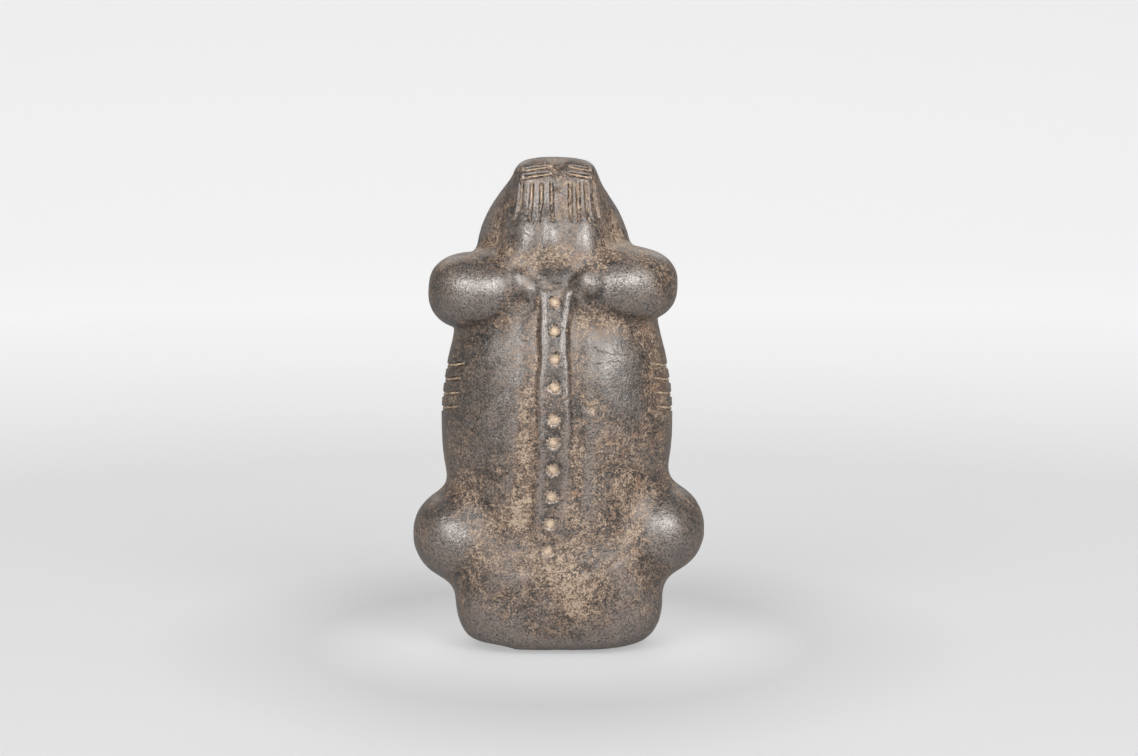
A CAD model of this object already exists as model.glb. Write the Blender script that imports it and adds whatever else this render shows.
# A standing zemi stone: a crouching figure carved from one dark cobble, seen from its worked back.
# Lengths are metres. +Z is up, the figure looks along +Y and its carved back faces -Y, as in the frame.
import math

import bmesh
import bpy
import numpy as np
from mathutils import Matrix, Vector, noise


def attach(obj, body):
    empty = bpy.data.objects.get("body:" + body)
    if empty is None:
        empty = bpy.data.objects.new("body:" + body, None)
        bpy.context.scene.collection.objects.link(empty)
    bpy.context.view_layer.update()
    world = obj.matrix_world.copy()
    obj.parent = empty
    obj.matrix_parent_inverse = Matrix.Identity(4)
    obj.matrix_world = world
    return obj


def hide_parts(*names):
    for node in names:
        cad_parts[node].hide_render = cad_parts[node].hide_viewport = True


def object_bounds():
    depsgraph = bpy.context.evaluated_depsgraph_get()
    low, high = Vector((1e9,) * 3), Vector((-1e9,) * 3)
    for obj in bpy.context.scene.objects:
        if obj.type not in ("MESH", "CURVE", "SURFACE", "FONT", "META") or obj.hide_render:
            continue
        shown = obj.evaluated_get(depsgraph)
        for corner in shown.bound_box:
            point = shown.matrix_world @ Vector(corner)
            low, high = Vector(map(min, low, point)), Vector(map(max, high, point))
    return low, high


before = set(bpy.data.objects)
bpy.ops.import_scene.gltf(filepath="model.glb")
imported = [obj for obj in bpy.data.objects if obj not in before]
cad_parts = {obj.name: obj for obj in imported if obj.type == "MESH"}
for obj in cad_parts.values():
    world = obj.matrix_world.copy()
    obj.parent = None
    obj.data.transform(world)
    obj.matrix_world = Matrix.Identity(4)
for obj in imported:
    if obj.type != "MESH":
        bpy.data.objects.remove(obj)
cad_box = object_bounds()

# The stone. It is one river cobble of dark, fine volcanic rock. The carver pecked it to shape,
# ground it smooth and rubbed the high places to a polish, and the hollows have kept a tan deposit.
# Its blank comes from the solid of the frame, with the cut marks closed, and is worked again here.
MM = 0.001
SAME_POINT = 0.001 * MM
STONE_GRAIN = 0.95 * MM
FIRST_CUT_REACH = 2.4
SECOND_CUT_REACH = 1.5
DOT_REACH = 1.6
LONGEST_REACH = 12
LINE_STATIONS = 6
FINE_PLACE = ((-15, -40, 82), (13, 0, 134))


def copied(name, nodes):
    """A new piece with the forms of these nodes of the frame, and the loose triangles of each merged."""
    form = bmesh.new()
    for node in nodes:
        form.from_mesh(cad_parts[node].data)
    bmesh.ops.remove_doubles(form, verts=form.verts, dist=SAME_POINT)
    mesh = bpy.data.meshes.new(name)
    form.to_mesh(mesh)
    form.free()
    piece = bpy.data.objects.new(name, mesh)
    bpy.context.scene.collection.objects.link(piece)
    return piece


def surfaced(piece, grain):
    """Gives a piece one even, closed skin with its points a grain apart."""
    skin = piece.modifiers.new("even skin", "REMESH")
    skin.mode = "VOXEL"
    skin.voxel_size = grain
    graph = bpy.context.evaluated_depsgraph_get()
    mesh = bpy.data.meshes.new_from_object(piece.evaluated_get(graph))
    piece.modifiers.clear()
    piece.data = mesh
    return piece


def points_of(mesh):
    """The points of a mesh, in millimetres."""
    flat = np.zeros(len(mesh.vertices) * 3)
    mesh.vertices.foreach_get("co", flat)
    return flat.reshape(-1, 3) / MM


def set_points(mesh, points):
    """Puts the points of a mesh at places in millimetres."""
    mesh.vertices.foreach_set("co", (points * MM).ravel())
    mesh.update()


def normals_of(mesh):
    flat = np.zeros(len(mesh.vertices) * 3)
    mesh.vertices.foreach_get("normal", flat)
    return flat.reshape(-1, 3)


def moved_out(mesh, heights):
    """Moves each point of a mesh square to its surface by its own height, in millimetres."""
    set_points(mesh, points_of(mesh) + normals_of(mesh) * heights[:, None])


def middle_line(node):
    """The line down the middle of a fill, as points a step apart, or the one middle of a dot."""
    points = np.unique((points_of(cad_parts[node].data)).round(3), axis=0)
    if "dot" in node:
        return points.mean(axis=0)[None]
    away = points - points.mean(axis=0)
    order = np.argsort(away @ np.linalg.svd(away)[2][0])
    return np.array([points[share].mean(axis=0) for share in np.array_split(order, LINE_STATIONS)])


def to_line(line, places):
    """From the nearest point of a line to each place, and how far along the line that point is."""
    offset = places - line[0]
    along = np.zeros(len(places))
    nearest = np.linalg.norm(offset, axis=1)
    for step, (start, end) in enumerate(zip(line, line[1:])):
        run = end - start
        share = np.clip((places - start) @ run / (run @ run), 0, 1)
        away = places - start - share[:, None] * run
        distance = np.linalg.norm(away, axis=1)
        closer = distance < nearest
        nearest[closer] = distance[closer]
        offset[closer] = away[closer]
        along[closer] = (step + share[closer]) / (len(line) - 1)
    return offset, along


def cut_finer(mesh, lines, reach, place=None):
    """Halves the edges of a mesh near the marks and inside a box, so that they can be carved cleanly."""
    form = bmesh.new()
    form.from_mesh(mesh)
    form.faces.ensure_lookup_table()
    middles = np.array([face.calc_center_median() for face in form.faces]) / MM
    near = np.zeros(len(middles), dtype=bool)
    for name, line in lines.items():
        far = reach + (DOT_REACH if "dot" in name else 0)
        close = np.flatnonzero((np.abs(middles - line.mean(axis=0)) < LONGEST_REACH).all(axis=1))
        offset, _ = to_line(line, middles[close])
        near[close] |= np.linalg.norm(offset, axis=1) < far
    if place:
        near |= ((middles > place[0]) & (middles < place[1])).all(axis=1)
    edges = {edge for index in np.flatnonzero(near) for edge in form.faces[index].edges}
    bmesh.ops.subdivide_edges(form, edges=list(edges), cuts=1, use_grid_fill=True)
    form.to_mesh(mesh)
    form.free()


fill_nodes = sorted(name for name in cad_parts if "_fill_" in name)
mark_lines = {name: middle_line(name) for name in fill_nodes}
stone = surfaced(copied("zemi_stone", ["stone", *fill_nodes]), STONE_GRAIN)
cut_finer(stone.data, mark_lines, FIRST_CUT_REACH, FINE_PLACE)
cut_finer(stone.data, mark_lines, SECOND_CUT_REACH)

# The masses of the figure, in millimetres: the middle of each, half its width, depth and height, how
# square its outline is (2 is a plain oval), and for some how square it is in depth and how it leans.
TORSO = ((-0.5, -0.1, 76.8), (39, 27, 61.6), 2)
LOINS = ((-0.1, -0.1, 38), (30, 25.6, 36), 2.4)
SOLE = ((0.1, -0.1, 19.8), (35.3, 25, 23.5), 3)
NECK = ((-1.5, -4.1, 125.9), (19, 13, 19), 2.2)
SKULL = ((-1.7, 4.9, 130.8), (26.2, 19, 33.6), 1.8)
NAPE_PANEL = ((-0.9, -4.1, 147.2), (14.5, 9.8, 18), 5, 2.6, 0.1)
HAUNCHES = (((-32.6, -0.6, 38), (16.8, 20.5, 16), 2.1), ((32.6, -0.6, 40), (16.8, 20.5, 16), 2.1))
SHOULDERS = (((-26.9, -5.1, 121.2), (16.5, 17, 13), 2.5, 2.2),
             ((20.33, -5.1, 123.2), (19.47, 17, 13), 2.5, 2.2))
SOFT_TRUNK = 7
SOFT_KNOB = 4
SOFT_PANEL = 6
SOFT_SOLE = 6
SOFTER_NAPE = 6
NAPE_DEPTH = (4, 14)
PANEL_TOP = 152
PANEL_FADE = 9
NAPE_MIDDLE = -1.5
NAPE_HALF = 20
NAPE_FADE = 8
SLOPE_STEP = 0.05
LEAST_SLOPE = 0.2
EASE_ROUNDS = 4
GROUND_ROUNDS = 4
SETTLE_ROUNDS = 3


def smooth_ramp(value, low, high):
    """A soft step from 0 to 1."""
    share = np.clip((value - low) / (high - low), 0, 1)
    return share * share * (3 - 2 * share)


def rounded(place, middle, half, squareness, depth_squareness=None, lean=0):
    """How far each place lies outside a rounded mass: less than 0 inside it."""
    away = place - middle
    x = np.abs(away[:, 0]) / half[0]
    y = np.abs(away[:, 1] - lean * away[:, 2]) / half[1]
    z = np.abs(away[:, 2]) / half[2]
    outline = (x ** squareness + z ** squareness) ** (1 / squareness)
    swell = depth_squareness or squareness
    scaled = (outline ** swell + y ** swell) ** (1 / swell)
    return np.linalg.norm(away, axis=1) * (1 - 1 / scaled)


def joined(a, b, soft):
    """Runs two masses together with a soft crease."""
    overlap = np.maximum(soft - np.abs(a - b), 0) / soft
    return np.minimum(a, b) - overlap * overlap * soft / 4


def outside_figure(place):
    """How far each place lies outside the ground figure, which stands on its flat sole."""
    value = rounded(place, *TORSO)
    for mass in (LOINS, SOLE, NECK):
        value = joined(value, rounded(place, *mass), SOFT_TRUNK)
    on_nape = smooth_ramp(-place[:, 1], *NAPE_DEPTH)
    below_top = smooth_ramp(PANEL_TOP - place[:, 2], 0, PANEL_FADE)
    soft_panel = SOFT_PANEL + SOFTER_NAPE * on_nape * below_top
    head = joined(rounded(place, *SKULL), rounded(place, *NAPE_PANEL), soft_panel)
    value = joined(value, head, SOFT_KNOB + SOFTER_NAPE * on_nape)
    near_middle = smooth_ramp(NAPE_HALF - np.abs(place[:, 0] - NAPE_MIDDLE), 0, NAPE_FADE)
    soft_knob = SOFT_KNOB + SOFTER_NAPE * on_nape * near_middle
    for haunch, shoulder in zip(HAUNCHES, SHOULDERS):
        value = joined(value, rounded(place, *haunch), SOFT_TRUNK)
        value = joined(value, rounded(place, *shoulder), soft_knob)
    return -joined(-value, place[:, 2], SOFT_SOLE)


def slope_at(points):
    """Which way, and how fast, places leave the ground figure."""
    return np.stack([outside_figure(points + step) - outside_figure(points - step)
                     for step in np.eye(3) * SLOPE_STEP], axis=1) / (2 * SLOPE_STEP)


def ground(points, rounds):
    """Brings points onto the surface of the ground figure."""
    for _ in range(rounds):
        slope = slope_at(points)
        steepness = np.maximum((slope * slope).sum(axis=1), LEAST_SLOPE)
        points = points - slope * (outside_figure(points) / steepness)[:, None]
    return points


def eased(mesh, points, rounds, pull=0.5):
    """Evens points out by easing each towards the middle of its neighbours."""
    ends = np.zeros(len(mesh.edges) * 2, dtype=np.int64)
    mesh.edges.foreach_get("vertices", ends)
    near, far = ends[0::2], ends[1::2]
    count = len(points)
    ties = np.bincount(near, minlength=count) + np.bincount(far, minlength=count)
    for _ in range(rounds):
        middle = np.stack([(np.bincount(near, points[far, axis], count)
                            + np.bincount(far, points[near, axis], count)) / ties
                           for axis in range(points.shape[1])], axis=1)
        points = points + pull * (middle - points)
    return points


skin = eased(stone.data, points_of(stone.data), EASE_ROUNDS)
skin = eased(stone.data, ground(skin, GROUND_ROUNDS), SETTLE_ROUNDS)
set_points(stone.data, skin)

# The strokes of the carver's tool on the back and on the front. Each fades out a little past its half
# width, which is the first number, and runs through places given by how far across, how far up and how
# proud (or, below 0, how deep) it is there, all in millimetres. The front's take over from the back's
# where the side turns. The hand never runs quite true, so each strays a little to either side of its line.
TURNOVER = 5
STROKE_STEPS = 6
STROKE_EDGE = 1.19
STRAY = 0.55
STRAY_RUN = 7
STRAY_SEEDS = (21, 22)
SEED_STEPS = Vector((37, 11, 5))
BACK_STROKES = {
    "left trough": (4.4, [(-9.4, 121, 0), (-8.8, 114, -0.6), (-8.8, 100, -0.9), (-9.2, 80, -1.2),
                          (-10, 60, -1.5), (-10.8, 45, -1.3), (-11.3, 31, -0.7)]),
    "right trough": (4.2, [(7.0, 121, 0), (6.6, 114, -0.6), (6.5, 100, -0.8), (6.5, 80, -0.9),
                           (6.0, 62, -0.9), (5.2, 46, -0.8), (4.6, 31, -0.3)]),
    "left rail": (2.7, [(-4.6, 124.4, 0), (-4.5, 121.4, 0.8), (-5.0, 113, 0.9), (-5.5, 106.5, 0.8),
                        (-5.5, 99, 0.4), (-5.8, 88, 0.2), (-6.4, 76, 0.08), (-6.8, 68, 0)]),
    "right rail": (2.7, [(3.0, 125.4, 0), (3.3, 121.6, 0.8), (2.1, 113, 0.9), (2.2, 107, 0.9),
                         (2.2, 99, 0.45), (2.6, 88, 0.25), (2.6, 76, 0.1), (2.2, 66, 0)]),
    "left edge of the band": (1.8, [(-6.8, 123, 0), (-6.9, 117, -0.5), (-7.2, 108, -0.7), (-7.4, 98, -0.7),
                                    (-7.8, 86, -0.4), (-8.4, 72, -0.15), (-9.2, 58, -0.3), (-9.8, 46, -0.3),
                                    (-9.6, 36, -0.1)]),
    "right edge of the band": (1.8, [(5.2, 123, 0), (4.7, 117, -0.5), (4.1, 110, -0.7), (4.3, 98, -0.5),
                                     (4.5, 87, -0.5), (5.0, 78, -0.3), (4.2, 66, -0.1), (3.6, 58, 0)]),
    "top edge of the band": (1.5, [(-3.6, 123.4, 0), (-0.9, 124.4, -0.5), (1.8, 124, 0)]),
    "left blade": (3.4, [(-6.4, 128, 0), (-7.6, 124.6, 1.0), (-8.9, 120.4, 1.1), (-10.2, 115.6, 0.5),
                         (-11, 110.5, 0)]),
    "right blade": (3.2, [(5.2, 128.6, 0), (5.8, 125.4, 0.9), (6.8, 121.8, 1.0), (8.2, 118, 0.5),
                          (9.6, 113.5, 0)]),
    "left knuckle": (4.6, [(-12.0, 130.8, 0), (-11.8, 127, 1.6), (-11.4, 123.2, 1.8), (-10.6, 118.8, 0)]),
    "right knuckle": (4.3, [(8.2, 131.2, 0), (8.9, 128, 1.4), (10.0, 124.8, 1.7), (11.8, 120.4, 0)]),
    "nape hollow": (8, [(-2.6, 127.2, -1.3), (0.8, 127.2, -1.3)]),
    "right side swell": (13, [(21, 98, 0.9), (24, 88, 0.9)]),
    "left shoulder crest": (10, [(-25.5, 122.6, 0.6), (-21.5, 122.8, 0.6)]),
    "right shoulder crest": (11, [(15, 124.8, 0.9), (18.5, 124.8, 0.9)]),
    "outer left rib": (4.4, [(-10.6, 151, 0.3), (-10.9, 145, 0.8), (-11.3, 138, 0.8), (-11.6, 131.5, 0)]),
    "inner left rib": (4.2, [(-3.9, 152, 0.2), (-3.7, 146, 0.8), (-3.3, 139, 0.7), (-3.0, 133, 0)]),
    "right rib": (4.4, [(9.5, 151, 0.3), (9.3, 145, 0.8), (8.9, 138, 0.8), (8.7, 131.5, 0)]),
    "gutter": (3.4, [(-0.7, 157, -0.8), (-0.7, 174, -0.9)]),
    "notch in the loins": (1.3, [(8.4, 31.2, -0.5), (9.8, 29.4, -1.0), (11.4, 31.4, -0.4)]),
    "scratch on the loins": (0.8, [(10.6, 28.4, -0.2), (18, 31.8, -0.3), (27, 37.8, -0.1)]),
    "chip beside the band": (1.5, [(9.8, 85.2, -0.6), (11, 84, -0.4)]),
    "tick on the flank": (0.9, [(-34.0, 99.4, -0.3), (-34.0, 96.6, -0.6)]),
}
FRONT_STROKES = {
    "left arm": (8.6, [(-29.5, 121.2, 2.6), (-26.5, 91.4, 2.6), (-12.5, 97.4, 2.6), (-7.5, 99.4, 2.4)]),
    "right arm": (8.6, [(28.5, 123.2, 2.6), (25.5, 91.4, 2.6), (11.5, 97.4, 2.6), (6.5, 99.4, 2.4)]),
    "left leg": (9.6, [(-34.5, 38, 2.8), (-22.5, 53.2, 2.8), (-18.5, 7, 2.6), (-12.5, 7, 2.4)]),
    "right leg": (9.6, [(33.5, 40, 2.8), (21.5, 53.2, 2.8), (17.5, 7, 2.6), (11.5, 7, 2.4)]),
    "navel": (5, [(-0.5, 76.8, -1.3), (-0.5, 76.6, -1.3)]),
    "left eye": (6.4, [(-10.6, 145.2, -2.0), (-10.4, 145.2, -2.0)]),
    "right eye": (6.4, [(7.0, 145.2, -2.0), (7.2, 145.2, -2.0)]),
    "left lid": (2.3, [(-12.8, 145, 1.0), (-8.4, 145, 1.0)]),
    "right lid": (2.3, [(5.0, 145, 1.0), (9.4, 145, 1.0)]),
    "left lash": (0.9, [(-13.2, 144.3, -0.5), (-10.6, 143.7, -0.6), (-8, 144.3, -0.5)]),
    "right lash": (0.9, [(4.6, 144.3, -0.5), (7.2, 143.7, -0.6), (9.8, 144.3, -0.5)]),
    "left brow": (2.6, [(-15, 149.6, 0.5), (-9.6, 151.4, 0.9), (-4, 149.6, 0.7)]),
    "right brow": (2.6, [(11.6, 149.6, 0.5), (6.2, 151.4, 0.9), (0.6, 149.6, 0.7)]),
    "nose": (4.4, [(-1.7, 148.5, 1.2), (-1.7, 139.2, 2.0)]),
    "nostrils": (2.4, [(-4.1, 137.9, 0.7), (0.7, 137.9, 0.7)]),
    "mouth": (4.4, [(-8.2, 130.2, -1.3), (4.8, 130.2, -1.3)]),
    "upper lip": (1.7, [(-6, 131.6, 0.8), (-1.7, 132.1, 1.0), (2.6, 131.6, 0.8)]),
    "lower lip": (1.8, [(-5, 128.7, 0.8), (-1.7, 128.3, 1.0), (1.6, 128.7, 0.8)]),
    "parting of the lips": (0.8, [(-6.6, 130.2, -0.4), (3.2, 130.2, -0.4)]),
    "chin": (4.2, [(-3.2, 122.6, 0.9), (-0.2, 122.6, 0.9)]),
    "left fingers, upper": (0.8, [(-11.5, 101.1, -0.5), (-4.2, 102.7, -0.6)]),
    "left fingers, middle": (0.8, [(-11, 98.9, -0.5), (-3.4, 100.5, -0.6)]),
    "left fingers, lower": (0.8, [(-10.6, 96.7, -0.5), (-3.8, 98.2, -0.6)]),
    "right fingers, upper": (0.8, [(10.5, 101.1, -0.5), (3.2, 102.7, -0.6)]),
    "right fingers, middle": (0.8, [(10, 98.9, -0.5), (2.4, 100.5, -0.6)]),
    "right fingers, lower": (0.8, [(9.6, 96.7, -0.5), (2.8, 98.2, -0.6)]),
    "left toes, inner": (0.8, [(-14.6, 3, -0.6), (-14.6, 8.6, -0.4)]),
    "left toes, middle": (0.8, [(-17.4, 3, -0.6), (-17.6, 8.8, -0.4)]),
    "left toes, outer": (0.8, [(-20.2, 3, -0.6), (-20.6, 8.4, -0.4)]),
    "right toes, inner": (0.8, [(13.6, 3, -0.6), (13.6, 8.6, -0.4)]),
    "right toes, middle": (0.8, [(16.4, 3, -0.6), (16.6, 8.8, -0.4)]),
    "right toes, outer": (0.8, [(19.2, 3, -0.6), (19.6, 8.4, -0.4)]),
}


def softly_run(line):
    """A line with points set between its own, so that it turns, rises and sinks without a corner."""
    line = np.array(line, dtype=float)
    span = np.linalg.norm(np.diff(line[:, :2], axis=0), axis=1)[:, None]
    before = [0, *range(len(span))]
    slope = np.diff(line, axis=0)[before] / span[before]
    slope[1:-1] = (line[2:] - line[:-2]) / (span[1:] + span[:-1])
    slope[[0, -1], 2] = 0
    share = np.linspace(0, 1, STROKE_STEPS, endpoint=False)[:, None, None]
    turn = (share * (1 - share) ** 2) * span * slope[:-1] - (share ** 2 * (1 - share)) * span * slope[1:]
    soft = share * share * (3 - 2 * share)
    between = line[:-1] + soft * (line[1:] - line[:-1]) + turn
    return np.concatenate([between.transpose(1, 0, 2).reshape(-1, 3), line[-1:]])


def stroke(places, half_width, line):
    """What a stroke adds at each place: the whole of its rise on its line, and nothing past its edge."""
    half_width *= STROKE_EDGE
    line = softly_run(line)
    flat = places[:, ::2]
    lowest = line[:, :2].min(axis=0) - half_width
    highest = line[:, :2].max(axis=0) + half_width
    reached = ((flat > lowest) & (flat < highest)).all(axis=1)
    across, up = flat[reached].T
    nearest = np.full(len(across), np.inf)
    rise = np.zeros(len(across))
    for (x0, z0, rise0), (x1, z1, rise1) in zip(line, line[1:]):
        run = (x1 - x0) ** 2 + (z1 - z0) ** 2
        share = np.clip(((across - x0) * (x1 - x0) + (up - z0) * (z1 - z0)) / run, 0, 1)
        away = np.hypot(across - x0 - share * (x1 - x0), up - z0 - share * (z1 - z0))
        closer = away < nearest
        nearest[closer] = away[closer]
        rise[closer] = rise0 + share[closer] * (rise1 - rise0)
    share = np.clip(nearest / half_width, 0, 1)
    added = np.zeros(len(places))
    added[reached] = rise * (1 - share * share) ** 3
    return added


def strokes_at(places, strokes):
    """What all these strokes add at each place."""
    return sum(stroke(places, half_width, line) for half_width, line in strokes.values())


def noise_at(places, size, seed):
    """Smooth noise from -1 to 1 whose swells are this many millimetres apart."""
    shift = SEED_STEPS * seed
    return np.array([noise.noise(Vector(place) / size + shift) for place in places])


def relief_at(places):
    """How proud the carver's strokes leave each place, or how deep below 0."""
    on_front = smooth_ramp(places[:, 1], -TURNOVER, TURNOVER)
    strayed = places.copy()
    for axis, seed in zip((0, 2), STRAY_SEEDS):
        strayed[:, axis] += STRAY * noise_at(places, STRAY_RUN, seed)
    back, front = (strokes_at(strayed, strokes) for strokes in (BACK_STROKES, FRONT_STROKES))
    return (1 - on_front) * back + on_front * front


relief = relief_at(skin)
moved_out(stone.data, relief)

# The unevenness of hand grinding: broad slow swells, and the finer dints of the pecking stone.
# Each swell is so many millimetres apart, and so high.
SWELLS = ((15, 0.25), (6, 0.13), (2.2, 0.05))
skin = points_of(stone.data)
uneven = sum(height * noise_at(skin, size, seed) for seed, (size, height) in enumerate(SWELLS))
moved_out(stone.data, uneven)

# The marks: each dot is drilled as a shallow bowl, and each line is scored as a trough with a flat bed.
# Round each dot lie crumbs of its fill, in rays, and beyond them a darker ring.
DOT_HALF = 2.45
DOT_DEPTH = 0.75
DOT_BOWL = 1.3
DOT_LOBES = ((3, 1, 0.1), (5, 2, 0.07))
DOT_RAYS = (7, 4)
DOT_SPILL = 1.3
SPILL_REACH = 1.95
RAY_REACH = 1.0
DOT_HALO = 4.6
DOT_HALO_FADE = 2.0
LINE_HALF = {"flank": 1.2, "nape": 1.0}
LINE_BED = 0.35
LINE_DEPTH = 0.75
LINE_RUNOUT = 0.08
LINE_END = {"flank": 0.5, "nape": 0.1}
LINE_PATCH = 1.6
LINE_WAVER = 0.12
LINE_SPILL = 0.75
LINE_SPILL_SWING = 0.5
LINE_SPILL_REACH = 1.2
LINE_HALO = 0.25
LINE_HALO_FADE = (1.0, 2.2)
OTHER_SEED = 9
skin = points_of(stone.data)
facing = normals_of(stone.data)
marked = np.zeros(len(skin))
halo = np.zeros(len(skin))
crumbs = np.full(len(skin), -1.0)
for seed, (name, line) in enumerate(mark_lines.items()):
    close = np.flatnonzero((np.abs(skin - line.mean(axis=0)) < LONGEST_REACH).all(axis=1))
    offset, along = to_line(line, skin[close])
    offset -= (offset * facing[close]).sum(axis=1)[:, None] * facing[close]
    away = np.linalg.norm(offset, axis=1)
    if "dot" in name:
        bearing = np.arctan2(offset[:, 2], offset[:, 0])
        ragged = 1 + sum(bulge * np.sin(lobes * bearing + turn * seed) for lobes, turn, bulge in DOT_LOBES)
        share = np.clip(away / (DOT_HALF * ragged), 0, 1)
        depth = DOT_DEPTH * (1 - share * share) ** DOT_BOWL
        many, few = DOT_RAYS
        rays = 0.5 + 0.5 * np.sin(many * bearing + seed) * np.sin(few * bearing + 3 * seed)
        spilt = DOT_SPILL - away / (SPILL_REACH + RAY_REACH * rays)
        halo[close] = np.maximum(halo[close], smooth_ramp(DOT_HALO - away, 0, DOT_HALO_FADE))
    else:
        wavering = 1 + LINE_WAVER * noise_at(skin[close], LINE_PATCH, seed)
        end = np.minimum(along, 1 - along) / LINE_RUNOUT
        kind = name.split("_")[0]
        depth = LINE_DEPTH * (1 - smooth_ramp(away / wavering, LINE_BED, LINE_HALF[kind]))
        depth *= LINE_END[kind] + (1 - LINE_END[kind]) * np.clip(end, 0, 1)
        spilt = LINE_SPILL + LINE_SPILL_SWING * noise_at(skin[close], LINE_PATCH, seed + OTHER_SEED)
        spilt -= away / LINE_SPILL_REACH
        halo[close] = np.maximum(halo[close], LINE_HALO * (1 - smooth_ramp(away, *LINE_HALO_FADE)))
    marked[close] = np.maximum(marked[close], depth)
    crumbs[close] = np.maximum(crumbs[close], spilt)
moved_out(stone.data, -marked)

# The left of the sole's rim is worn away a little on the back, and nothing stands outside the frame's box.
WORN_MIDDLE = -23.5
WORN_HALF = 9
WORN_RISE = 1.3
WORN_HEIGHT = 5
WORN_FADE = 8
skin = points_of(stone.data)
low = 1 - smooth_ramp(skin[:, 2], 0, WORN_HEIGHT)
worn = np.clip(1 - ((skin[:, 0] - WORN_MIDDLE) / WORN_HALF) ** 2, 0, 1)
skin[:, 2] += WORN_RISE * worn * smooth_ramp(-skin[:, 1], -WORN_FADE, WORN_FADE) * low
lowest, highest = (np.array(corner) / MM for corner in cad_box)
skin = np.clip(skin, lowest, highest)
set_points(stone.data, skin)

# Where the tan deposit lies thick on the back, and where rubbing has kept the stone dark (below 0). Each
# place is written as a stroke is. Hollows hold more of it, and crests and the wide parts of the head are
# rubbed to a polish wherever it is thin.
DEPOSITS = {
    "loins": (26, [(-14, 42, 0.32), (4, 36, 0.33), (18, 44, 0.28)]),
    "under the spine": (13, [(1, 33, 0.35), (9, 22, 0.4)]),
    "rust beside the notch": (5, [(3.8, 28, 0.5), (4.6, 19, 0.5)]),
    "right of the torso": (13, [(15, 76, 0.25), (22, 58, 0.25)]),
    "right flank": (8, [(31, 106, 0.3), (32, 88, 0.55), (31, 76, 0.3)]),
    "under the right shoulder": (6, [(9, 114, 0.5), (18, 110, 0.35)]),
    "right shoulder top": (10, [(18, 134, 0.4), (33, 128, 0.5), (36, 118, 0.15)]),
    "nape": (9, [(-8, 131.5, 0.55), (2, 132, 0.65), (12, 131.5, 0.5)]),
    "right of the nape panel": (8, [(6, 158, 0.3), (5, 146, 0.3)]),
    "right of the head": (7, [(14.5, 152, 0.3), (18.5, 140, 0.45)]),
    "crown": (4, [(-3, 163, 0.4), (1, 159, 0.4)]),
    "left of the head": (6, [(-19, 142, 0.3), (-16, 133, 0.35)]),
    "left of the spine": (4.5, [(-11.5, 90, 0.5), (-12.5, 70, 0.55), (-13.5, 46, 0.55)]),
    "left trough, upper": (3, [(-9, 112, 0.25), (-9, 96, 0.35)]),
    "right trough": (3.4, [(6.8, 112, 0.3), (6.6, 90, 0.25)]),
    "under the left shoulder": (5, [(-30, 113, 0.3), (-18, 112, 0.4)]),
    "left shoulder top": (6, [(-36, 130, 0.25), (-26, 133, 0.2)]),
    "left flank low": (6, [(-33, 66, 0.25), (-30, 56, 0.3)]),
    "clean left of the torso": (16, [(-22, 104, -0.5), (-24, 84, -0.5), (-24, 66, -0.35)]),
    "dark under the left knob": (7, [(-37, 116, -0.4), (-25, 115, -0.4)]),
    "clean left shoulder": (11, [(-32, 122, -0.5), (-23, 123, -0.5)]),
    "clean left of the head": (8, [(-15, 158, -0.1), (-22, 138, -0.05)]),
    "clean left of the panel": (7, [(-9, 150, -0.25), (-10, 141, -0.3)]),
    "clean right of the torso": (9, [(14, 105, -0.5), (21, 97, -0.5), (20, 88, -0.3)]),
    "clean left haunch": (11, [(-36, 46, -0.6), (-38, 36, -0.3)]),
    "clean right haunch": (11, [(36, 46, -0.6), (38, 36, -0.5)]),
    "clean right shoulder": (11, [(13, 127, -0.5), (23, 127, -0.6)]),
    "clean band": (4.5, [(-1.2, 118, -0.35), (-1.3, 90, -0.3), (-2, 64, -0.3), (-3.4, 40, -0.35)]),
    "clean beside the spine": (5, [(2.5, 42, -0.4), (7.5, 36, -0.3)]),
    "dark of the nape hollow": (6, [(-2.8, 127.2, -1.1), (1.2, 127.2, -1.1)]),
    "dark of the notch": (2.6, [(8.2, 32, -0.8), (10.0, 29.8, -0.9), (11.6, 31.2, -0.6)]),
    "pale beside the chip": (2.6, [(8.2, 87, 0.6), (11.2, 84.4, 0.7)]),
    "clean rim": (7, [(-30, 5, -0.25), (30, 5, -0.25)]),
    "clean upper panel": (5, [(-10, 161, -0.2), (8, 161, -0.2)]),
}
EVEN_DEPOSIT = 0.42
DEEP_DEPOSIT = 0.3
DEEP_SINK = 0.5
LEAST_SUNKEN = -0.6
CREST_DEPOSIT = -0.35
CREST_HEIGHT = 0.8
DEEP_ROUNDS = 24
CREST_RISE = 0.16
HEAD_RUB = 0.4
HEAD_START = (130, 142)
CROWN = 158
CROWN_FADE = 6
RUBBED_FACING = (0.35, 0.95)
COVERED = (0.05, 0.4)


def painted(mesh, name, values):
    """Keeps a number for each point of a mesh, for its material to read."""
    mesh.attributes.new(name, "FLOAT", "POINT").data.foreach_set("value", values.astype(np.float32))


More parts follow.
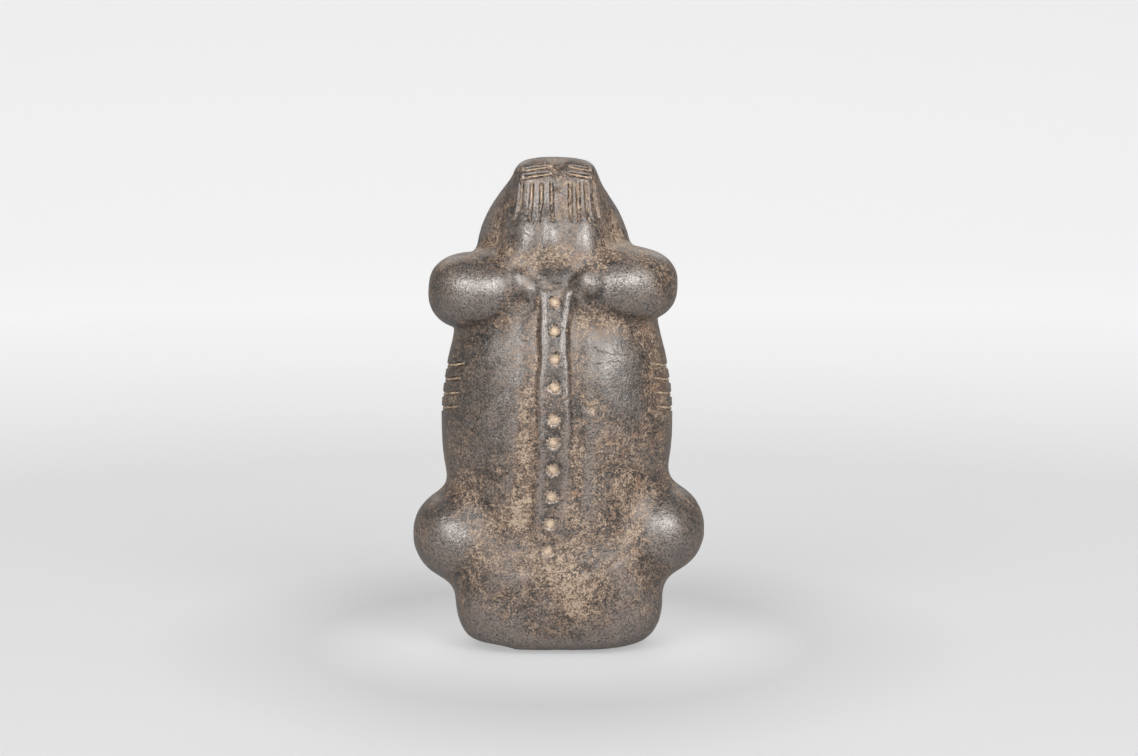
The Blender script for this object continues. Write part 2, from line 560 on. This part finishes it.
facing = normals_of(stone.data)
on_front = smooth_ramp(skin[:, 1], -TURNOVER, TURNOVER)
sunk = ((eased(stone.data, skin, DEEP_ROUNDS) - skin) * facing).sum(axis=1)
thick = (1 - on_front) * strokes_at(skin, DEPOSITS)
laid = thick + DEEP_DEPOSIT * np.clip(sunk / DEEP_SINK, LEAST_SUNKEN, 1)
laid += CREST_DEPOSIT * np.clip(relief / CREST_HEIGHT, 0, 1)
painted(stone.data, "deposit", EVEN_DEPOSIT + laid)
painted(stone.data, "halo", halo)
on_head = smooth_ramp(skin[:, 2], *HEAD_START) * smooth_ramp(CROWN - skin[:, 2], 0, CROWN_FADE)
outward = np.abs(facing[:, 1]) + HEAD_RUB * on_head
rubbed = np.clip(-sunk / CREST_RISE, 0, 1) * smooth_ramp(outward, *RUBBED_FACING)
rubbed *= 1 - smooth_ramp(thick, *COVERED)
painted(stone.data, "polish", rubbed)
painted(stone.data, "crumbs", crumbs)
stone.data.polygons.foreach_set("use_smooth", [True] * len(stone.data.polygons))
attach(stone, "root")
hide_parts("stone")


def add_node(tree, kind, sockets=None, **settings):
    """Adds a shader node. A socket is linked to the output it is given, or takes the value it is given."""
    made = tree.nodes.new("ShaderNode" + kind)
    for name, value in settings.items():
        setattr(made, name, value)
    for name, value in (sockets or {}).items():
        if isinstance(value, bpy.types.NodeSocket):
            tree.links.new(value, made.inputs[name])
        else:
            made.inputs[name].default_value = value
    return made


def finish_named(name):
    """A new material, its nodes and its main shader."""
    material = bpy.data.materials.new(name)
    material.use_nodes = True
    return material, material.node_tree, material.node_tree.nodes["Principled BSDF"]


def in_millimetres(tree, shift=(0, 0, 0), squeeze=(1, 1, 1)):
    """The place on a piece in millimetres, moved by a shift so that no two noises are alike."""
    place = add_node(tree, "TexCoord").outputs["Object"]
    return add_node(tree, "Mapping", {"Vector": place, "Location": shift,
                                      "Scale": [1000 * share for share in squeeze]}).outputs[0]


def grains(tree, size, detail, roughness, shift=(0, 0, 0), low=0.3, high=0.7, curl=0.0, squeeze=(1, 1, 1)):
    """Noise with grains of about this many millimetres, spread so that it runs from 0 to 1."""
    place = in_millimetres(tree, shift, squeeze)
    raw = add_node(tree, "TexNoise", {"Vector": place, "Scale": 1 / size, "Detail": detail,
                                      "Roughness": roughness, "Distortion": curl}).outputs[0]
    return add_node(tree, "MapRange", {"Value": raw, "From Min": low, "From Max": high}).outputs[0]


def figured(tree, operation, a, b=0.0, c=0.0):
    """One sum worked out for each point of a surface."""
    return add_node(tree, "Math", {0: a, 1: b, 2: c}, operation=operation).outputs[0]


def swung(tree, base, figure, share):
    """A value that a figure from 0 to 1 moves up or down, by half its share each way."""
    return figured(tree, "MULTIPLY_ADD", figure, share, figured(tree, "SUBTRACT", base, share / 2))


def ramped(tree, value, low, high, out_low=0.0, out_high=1.0):
    """A soft step from one value to another."""
    return add_node(tree, "MapRange", {"Value": value, "From Min": low, "From Max": high, "To Min": out_low,
                                       "To Max": out_high}, interpolation_type="SMOOTHSTEP").outputs[0]


def blended(tree, share, first, second):
    """One colour laid over another by a share."""
    return add_node(tree, "Mix", {0: share, 6: first, 7: second}, data_type="RGBA").outputs[2]


def kept(tree, name):
    """A number that the mesh keeps for each point."""
    return add_node(tree, "Attribute", attribute_name=name).outputs["Fac"]


STONE_TONES = ((0.0, (0.010, 0.008, 0.007)), (0.2, (0.038, 0.027, 0.021)), (0.42, (0.105, 0.073, 0.054)),
               (0.62, (0.190, 0.130, 0.090)), (0.8, (0.30, 0.208, 0.140)), (1.0, (0.45, 0.345, 0.25)))
RUST_TONE = (0.26, 0.120, 0.055, 1)
CRUMB_TONE = (0.47, 0.35, 0.25, 1)
RUBBED_TONE = (0.21, 0.176, 0.158, 1)
GLOSS_TINT = (1, 0.93, 0.87, 1)
COAT_TINT = (1, 0.96, 0.92, 1)
PITS_CHOSEN = (0.7, 1.3)
VEIN_BREAK = 1.5
VEIN_FADE = (0.45, 0.65)
PATCH_SHARE = 0.7
MOTTLE_SHARE = 0.6
FINE_SHARE = 0.52
GRIT_SHARE = 0.56
HATCH_SHARE = 0.24
BARE_TINT = 0.25
DEPOSIT_TINT = 0.47
BARE_SPREAD = 1.08
DEPOSIT_SPREAD = 0.3
PIT_SHADE = -0.3
CRACK_SHADE = -0.45
SCRAPE_SHADE = 0.22
HALO_SHADE = -0.18
RUST_PLACES = (0.6, 1.0)
RUSTING_TINTS = (0.45, 0.75)
MOST_RUST = 0.6
LEAST_RUB = 0.05
CRUMB_SHARE = 0.35
CRUMB_EDGE = (0.5, 0.85)
SMOOTH_TINTS = (0.25, 0.8)
LEAST_ROUGH = 0.33
MOST_ROUGH = 0.62
UNRUBBED_COAT = 0.25
MEAN_COAT = 0.5
COATED_TINTS = (0.35, 0.75)
LEAST_COAT = 0.35
COAT_ROUGHNESS = 0.31
COAT_IOR = 1.9
GRIT_HEIGHT = 0.5
FINE_HEIGHT = 0.4
PECKED_DEPTH = 0.08 * MM


def toned(tree, value, tones):
    """Turns a value into a colour, by a ramp through named tones."""
    ramp = add_node(tree, "ValToRGB", {"Fac": value})
    for stop, (place, tone) in enumerate(tones):
        knot = ramp.color_ramp.elements[stop] if stop < 2 else ramp.color_ramp.elements.new(place)
        knot.position = place
        knot.color = (*tone, 1)
    return ramp.outputs[0]


def dark_pits(tree, size, low, high, shift):
    """Small round pits, most of them shallow, scattered about this many millimetres apart."""
    cells = add_node(tree, "TexVoronoi", {"Vector": in_millimetres(tree, shift), "Scale": 1 / size,
                                          "Randomness": 1.0})
    chosen = add_node(tree, "SeparateColor", {0: cells.outputs["Color"]}).outputs[0]
    return figured(tree, "MULTIPLY", ramped(tree, cells.outputs["Distance"], high, low),
                   ramped(tree, chosen, *PITS_CHOSEN))


def veins(tree, size, shift, width):
    """Thin wandering lines, broken where a second noise fades them out."""
    course = grains(tree, size, 5, 0.55, shift, low=0, high=1, curl=0.6)
    line = ramped(tree, figured(tree, "ABSOLUTE", figured(tree, "SUBTRACT", course, 0.5)), width, 0)
    breaks = grains(tree, VEIN_BREAK * size, 3, 0.6, shift[::-1])
    return figured(tree, "MULTIPLY", line, ramped(tree, breaks, *VEIN_FADE))


polished, tree, surface = finish_named("polished dark stone")
fine = grains(tree, 0.6, 2, 0.5, (40, 0, 0), low=0.33, high=0.67, curl=0.6)
grit = grains(tree, 1.4, 3, 0.6, (0, 0, 50), low=0.32, high=0.68, curl=1.2)
mottle = grains(tree, 2.8, 4, 0.6, (0, 25, 0), low=0.32, high=0.68, curl=0.8)
patch = grains(tree, 7, 4, 0.6, (0, 70, 0), low=0.34, high=0.66)
rust = grains(tree, 5.5, 3, 0.6, (20, 30, 40))
hatch = grains(tree, 1.4, 3, 0.6, (15, 0, 60), curl=0.3, squeeze=(0.3, 1, 1.6))
pits = dark_pits(tree, 1.2, 0.1, 0.34, (5, 9, 2))
cracks = veins(tree, 9, (3, 60, 8), 0.026)
scrapes = veins(tree, 8, (90, 4, 30), 0.018)
laid = swung(tree, swung(tree, kept(tree, "deposit"), patch, PATCH_SHARE), mottle, MOTTLE_SHARE)
grain = swung(tree, swung(tree, 0.0, grit, GRIT_SHARE), fine, FINE_SHARE)
spread = figured(tree, "MULTIPLY_ADD", laid, DEPOSIT_SPREAD, BARE_SPREAD)
mean = figured(tree, "MULTIPLY_ADD", laid, DEPOSIT_TINT, BARE_TINT)
tint = swung(tree, figured(tree, "MULTIPLY_ADD", grain, spread, mean), hatch, HATCH_SHARE)
for figure, shade in ((pits, PIT_SHADE), (cracks, CRACK_SHADE), (scrapes, SCRAPE_SHADE),
                      (kept(tree, "halo"), HALO_SHADE)):
    tint = figured(tree, "MULTIPLY_ADD", figure, shade, tint)
colour = toned(tree, tint, STONE_TONES)
rusty = figured(tree, "MULTIPLY", ramped(tree, rust, *RUST_PLACES),
                ramped(tree, tint, *RUSTING_TINTS, 0, MOST_RUST))
colour = blended(tree, rusty, colour, RUST_TONE)
rub = figured(tree, "MULTIPLY", kept(tree, "polish"), figured(tree, "ADD", fine, LEAST_RUB))
colour = blended(tree, figured(tree, "SUBTRACT", rub, pits), colour, RUBBED_TONE)
spilt = figured(tree, "MULTIPLY_ADD", fine, CRUMB_SHARE, kept(tree, "crumbs"))
colour = blended(tree, ramped(tree, spilt, *CRUMB_EDGE), colour, CRUMB_TONE)
tree.links.new(colour, surface.inputs["Base Color"])
tree.links.new(ramped(tree, tint, *SMOOTH_TINTS, LEAST_ROUGH, MOST_ROUGH), surface.inputs["Roughness"])
surface.inputs["Specular IOR Level"].default_value = 1.0
surface.inputs["Specular Tint"].default_value = GLOSS_TINT
surface.inputs["Coat Tint"].default_value = COAT_TINT
surface.inputs["Coat Roughness"].default_value = COAT_ROUGHNESS
surface.inputs["Coat IOR"].default_value = COAT_IOR
coat = figured(tree, "MULTIPLY_ADD", kept(tree, "polish"), 1 - UNRUBBED_COAT, UNRUBBED_COAT)
coat_grain = figured(tree, "ADD", fine, figured(tree, "SUBTRACT", MEAN_COAT, pits))
coat = figured(tree, "MULTIPLY", coat, coat_grain)
coat = figured(tree, "MULTIPLY", coat, ramped(tree, tint, *COATED_TINTS, 1, LEAST_COAT))
tree.links.new(coat, surface.inputs["Coat Weight"])
height = figured(tree, "MULTIPLY_ADD", grit, GRIT_HEIGHT, figured(tree, "MULTIPLY", fine, FINE_HEIGHT))
height = figured(tree, "SUBTRACT", height, figured(tree, "MAXIMUM", pits, cracks))
bump = add_node(tree, "Bump", {"Height": height, "Distance": PECKED_DEPTH, "Strength": 1.0})
for socket in ("Normal", "Coat Normal"):
    tree.links.new(bump.outputs["Normal"], surface.inputs[socket])
stone.data.materials.clear()
stone.data.materials.append(polished)

# The mineral fill: pale chalky grains that settled in each drilled dot and each scored line, and
# stick to the stone there. Each filling is heaped in the middle of a dot and broken along a line.
FILL_GRAIN = 0.24 * MM
FILL_CRUMBS = ((0.13, 0.7, 40), (0.1, 1.7, 80))
LINE_SETTLED = {"flank": 0.06, "nape": 0.2}
LEAST_SUNK = 0.3
DOT_HEART = 1.05
DOT_HEART_REACH = 1.9
LINE_HEART_SWING = 0.6
LINE_HEART_RUN = 1.9
DULLER_FRONT = 0.3
SIDE_TURN = (-4, 4)
PALENESS = {"flank_line_fill_left": 0.42, "flank_line_fill_right": 0.45, "nape_band_fill_left": 0.42,
            "nape_band_fill_right": 0.4, "nape_line_fill_left": 0.4, "nape_line_fill_right": 0.26}
FILL_CREAM = (0.78, 0.605, 0.44, 1)
FILL_TAN = (0.37, 0.285, 0.22, 1)
FILL_BROWN = (0.10, 0.075, 0.058, 1)
SPECK_SHARE = 0.5
FLECK_SHARE = 0.35
CREAM_HEART = (0.55, 1.25)
BROWN_HEART = (0.62, 0.3)
MOST_BROWN = 0.85
SPECK_DEPTH = 0.12 * MM
mineral, tree, surface = finish_named("chalky grains")
speck = grains(tree, 0.45, 3, 0.7)
fleck = grains(tree, 1.3, 3, 0.6, (30, 0, 20))
heart = figured(tree, "MULTIPLY_ADD", speck, SPECK_SHARE, kept(tree, "heart"))
heart = figured(tree, "MULTIPLY_ADD", fleck, FLECK_SHARE, heart)
chalk = blended(tree, ramped(tree, heart, *CREAM_HEART), FILL_TAN, FILL_CREAM)
chalk = blended(tree, ramped(tree, heart, *BROWN_HEART, 0, MOST_BROWN), chalk, FILL_BROWN)
tree.links.new(chalk, surface.inputs["Base Color"])
surface.inputs["Roughness"].default_value = 0.95
surface.inputs["Specular IOR Level"].default_value = 0.03
bump = add_node(tree, "Bump", {"Height": speck, "Distance": SPECK_DEPTH, "Strength": 1.0})
tree.links.new(bump.outputs["Normal"], surface.inputs["Normal"])
for seed, name in enumerate(fill_nodes):
    grain_fill = surfaced(copied(name.replace("fill", "grains"), [name]), FILL_GRAIN)
    mesh = grain_fill.data
    points = points_of(mesh)
    crumb = sum(rise * noise_at(points, size, seed + shift) for rise, size, shift in FILL_CRUMBS)
    if "dot" in name:
        offset, _ = to_line(mark_lines[name], points)
        heart = DOT_HEART - np.linalg.norm(offset, axis=1) / DOT_HEART_REACH
        moved_out(mesh, crumb)
    else:
        heart = PALENESS[name.rsplit("_", 1)[0]] + LINE_HEART_SWING * noise_at(points, LINE_HEART_RUN, seed)
        heart -= DULLER_FRONT * smooth_ramp(points[:, 1], *SIDE_TURN)
        moved_out(mesh, crumb - LINE_SETTLED[name.split("_")[0]])
        points = points_of(mesh)
        proud = outside_figure(points) - relief_at(points) + LEAST_SUNK
        set_points(mesh, points - slope_at(points) * np.maximum(proud, 0)[:, None])
    painted(mesh, "heart", heart)
    mesh.polygons.foreach_set("use_smooth", [True] * len(mesh.polygons))
    mesh.materials.clear()
    mesh.materials.append(mineral)
    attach(grain_fill, "root")
    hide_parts(name)

# The studio: a pale dish of paper that the stone stands in, soft on all sides. The camera and the
# stone's gloss see it a little brighter away from the lamps, as where a second lamp falls on it, and
# calmer right under them.
DISH_RADIUS = 2.2
DISH_BEND = 0.8
DISH_WALL = 1.6
BEND_STEPS = 8
TURN_STEPS = 64
SAME_RIM = 0.0001
PAPER_TONE = (0.40, 0.40, 0.405, 1)
PAPER_GLOW = ((0, 0.40), (0.045, 0.39), (0.085, 0.27), (0.143, 0.37), (0.38, 0.425), (0.54, 0.54),
              (0.75, 0.66), (1.03, 0.755), (1.41, 0.755), (1.81, 0.735), (1.95, 0.72))
GLOSS_GLOW = 0.3
UNDER_LAMPS = (-0.75, -0.25)
UNDER_LAMPS_GLOW = 0.72
dish = bmesh.new()
rim = [dish.verts.new((0, 0, 0)), dish.verts.new((DISH_RADIUS - DISH_BEND, 0, 0))]
for step in range(1, BEND_STEPS + 1):
    turn = math.radians(90 * step / BEND_STEPS)
    rim.append(dish.verts.new((DISH_RADIUS - DISH_BEND + DISH_BEND * math.sin(turn), 0,
                               DISH_BEND * (1 - math.cos(turn)))))
rim.append(dish.verts.new((DISH_RADIUS, 0, DISH_WALL)))
profile = [dish.edges.new((a, b)) for a, b in zip(rim, rim[1:])]
bmesh.ops.spin(dish, geom=rim + profile, axis=(0, 0, 1), cent=(0, 0, 0), angle=2 * math.pi,
               steps=TURN_STEPS, use_merge=True)
bmesh.ops.remove_doubles(dish, verts=dish.verts, dist=SAME_RIM)
paper_mesh = bpy.data.meshes.new("paper_dish")
dish.to_mesh(paper_mesh)
dish.free()
paper_mesh.polygons.foreach_set("use_smooth", [True] * len(paper_mesh.polygons))
paper_dish = bpy.data.objects.new("paper_dish", paper_mesh)
bpy.context.scene.collection.objects.link(paper_dish)
paper, tree, surface = finish_named("pale paper")
surface.inputs["Base Color"].default_value = PAPER_TONE
surface.inputs["Roughness"].default_value = 0.9
place = add_node(tree, "TexCoord").outputs["Object"]
flat = add_node(tree, "Mapping", {"Vector": place, "Scale": (1, 1, 0)})
radius = add_node(tree, "VectorMath", {0: flat.outputs[0]}, operation="LENGTH").outputs["Value"]
ramp = add_node(tree, "ValToRGB", {"Fac": figured(tree, "DIVIDE", radius, DISH_RADIUS)})
for stop, (reach, glow) in enumerate(PAPER_GLOW):
    knot = ramp.color_ramp.elements[stop] if stop < 2 else ramp.color_ramp.elements.new(reach / DISH_RADIUS)
    knot.position = reach / DISH_RADIUS
    knot.color = (glow, glow, glow, 1)
towards = add_node(tree, "SeparateXYZ", {0: place}).outputs["Y"]
calm = ramped(tree, towards, *UNDER_LAMPS, UNDER_LAMPS_GLOW, 1)
ray = add_node(tree, "LightPath")
seen = figured(tree, "MAXIMUM", ray.outputs["Is Camera Ray"],
               figured(tree, "MULTIPLY", ray.outputs["Is Glossy Ray"], GLOSS_GLOW))
strength = figured(tree, "MULTIPLY", seen, calm)
glow = add_node(tree, "Emission", {"Color": ramp.outputs[0], "Strength": strength})
both = add_node(tree, "AddShader", {0: surface.outputs[0], 1: glow.outputs[0]})
tree.links.new(both.outputs[0], tree.nodes["Material Output"].inputs["Surface"])
paper_mesh.materials.append(paper)

# The lamps: round softboxes with grids, two large ones by the camera and small ones behind, which draw
# the edges and lift the front. Each has its azimuth and elevation in degrees, its size, its power in
# watts and how wide its grid lets it spread. Azimuth 0 is the camera's side.
SOFTBOX_DISTANCE = 1.3
SOFTBOX_AIM = Vector((0, 0, 0.08))
SOFTBOXES = {
    "left softbox": (-28, 26, 1.1, 2.6, 80),
    "right softbox": (31, 26, 1.1, 2.95, 80),
    "left softbox behind": (-160, 33, 0.7, 0.16, 50),
    "right softbox behind": (160, 33, 0.7, 0.18, 50),
    "card behind": (180, 28, 0.9, 0.3, 50),
}
AIR_GLOW = 0.32
for name, (azimuth, elevation, size, power, spread) in SOFTBOXES.items():
    lamp = bpy.data.lights.new(name, "AREA")
    lamp.shape = "DISK"
    lamp.size = size
    lamp.energy = power
    lamp.spread = math.radians(spread)
    held = bpy.data.objects.new(name, lamp)
    bpy.context.scene.collection.objects.link(held)
    turn, rise = math.radians(azimuth), math.radians(elevation)
    back = Vector((math.sin(turn) * math.cos(rise), -math.cos(turn) * math.cos(rise), math.sin(rise)))
    held.location = SOFTBOX_AIM + back * SOFTBOX_DISTANCE
    held.rotation_euler = (-back).to_track_quat("-Z", "Y").to_euler()
    held.visible_camera = False
    held.visible_glossy = not name.startswith("card")
world = bpy.data.worlds.new("studio air")
world.use_nodes = True
world.node_tree.nodes["Background"].inputs["Color"].default_value = (1, 1, 1, 1)
world.node_tree.nodes["Background"].inputs["Strength"].default_value = AIR_GLOW
bpy.context.scene.world = world

# The camera stands level with the stone's middle and a little above it, square to the carved back.
AIM = Vector((3.5, 0, 91)) * MM
CAMERA_DISTANCE = 0.9
CAMERA_RISE = math.radians(8)
SENSOR_WIDTH = 36
LENS = 84.36
camera_data = bpy.data.cameras.new("photographer")
camera_data.sensor_width = SENSOR_WIDTH
camera_data.lens = LENS
camera = bpy.data.objects.new("photographer", camera_data)
bpy.context.scene.collection.objects.link(camera)
looking = Vector((0, math.cos(CAMERA_RISE), -math.sin(CAMERA_RISE)))
camera.location = AIM - looking * CAMERA_DISTANCE
camera.rotation_euler = looking.to_track_quat("-Z", "Y").to_euler()
bpy.context.scene.camera = camera
bpy.context.scene.view_settings.view_transform = "Standard"
